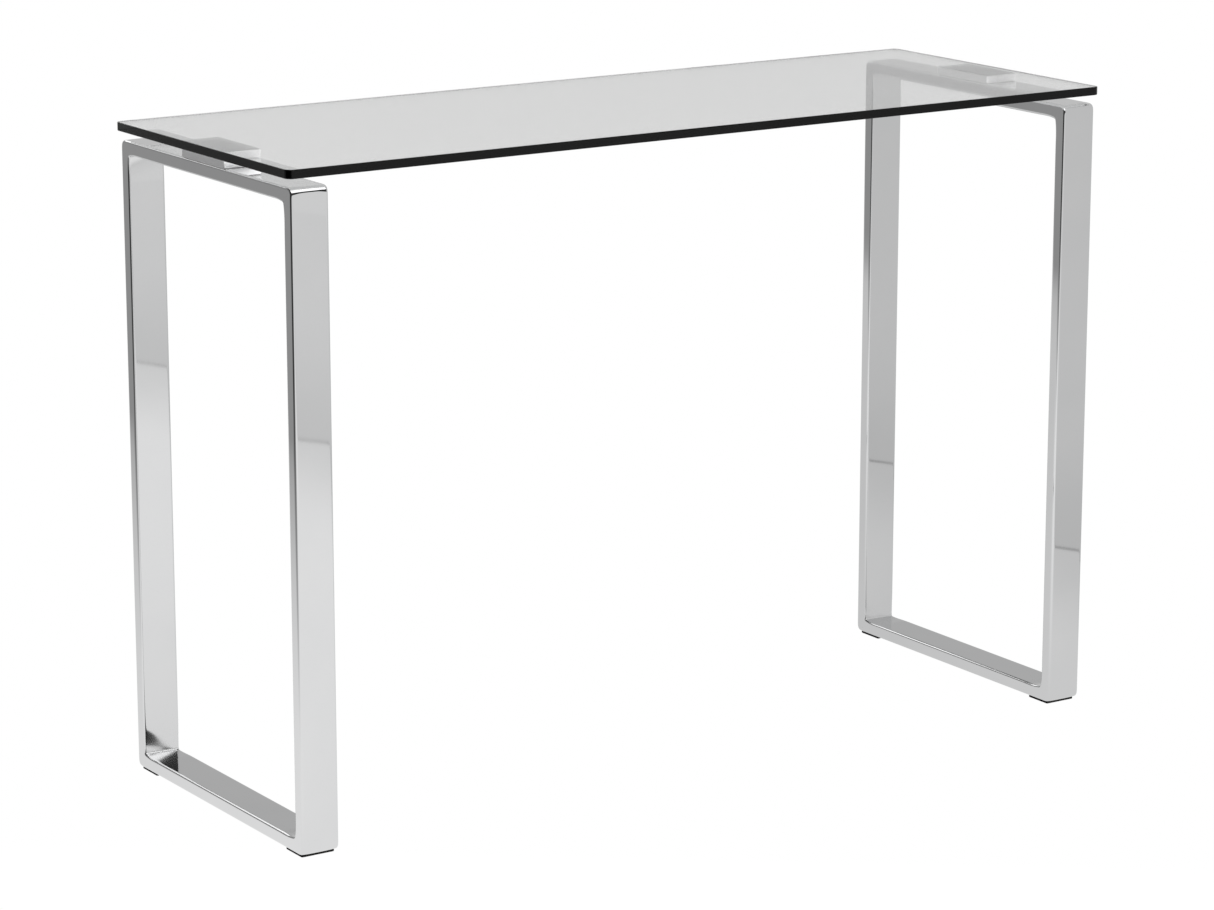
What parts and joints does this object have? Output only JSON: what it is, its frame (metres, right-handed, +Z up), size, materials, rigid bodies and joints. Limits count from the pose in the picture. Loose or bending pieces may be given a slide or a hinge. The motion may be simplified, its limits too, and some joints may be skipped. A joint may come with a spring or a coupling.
{
  "type": "console table",
  "caption": "Narrow console table: a clear glass top on raised blocks, bonded to upright loop end frames of flat chromed tube on rubber pads.",
  "frame": {"origin": "on the floor, centred under the glass top", "axes": "+Z up, +X along the table's length, +Y towards the wall it stands against"},
  "size_m": [1.1, 0.4, 0.76],
  "materials": {
    "clear_glass": "clear float glass, polished faces, ground and polished edges",
    "chromed_tube": "bright chrome plate on polished steel",
    "satin_aluminium": "bead blasted and clear anodised, satin",
    "clear_adhesive": "cured clear acrylic adhesive",
    "zinc_steel": "bright zinc plate",
    "black_plastic": "matt moulded",
    "black_rubber": "matt moulded"
  },
  "bodies": {
    "root": {"glass_top": "clear_glass", "left_front_leg": "chromed_tube", "left_rear_leg": "chromed_tube", "left_top_rail": "chromed_tube", "left_bottom_rail": "chromed_tube", "left_spacer_block": "satin_aluminium", "left_bond_film": "clear_adhesive", "left_front_block_screw": "zinc_steel", "left_rear_block_screw": "zinc_steel", "left_front_washer": "zinc_steel", "left_rear_washer": "zinc_steel", "left_front_hole_plug": "black_plastic", "left_rear_hole_plug": "black_plastic", "left_front_foot_pad": "black_rubber", "left_rear_foot_pad": "black_rubber", "right_front_leg": "chromed_tube", "right_rear_leg": "chromed_tube", "right_top_rail": "chromed_tube", "right_bottom_rail": "chromed_tube", "right_spacer_block": "satin_aluminium", "right_bond_film": "clear_adhesive", "right_front_block_screw": "zinc_steel", "right_rear_block_screw": "zinc_steel", "right_front_washer": "zinc_steel", "right_rear_washer": "zinc_steel", "right_front_hole_plug": "black_plastic", "right_rear_hole_plug": "black_plastic", "right_front_foot_pad": "black_rubber", "right_rear_foot_pad": "black_rubber"}
  },
  "joints": []
}
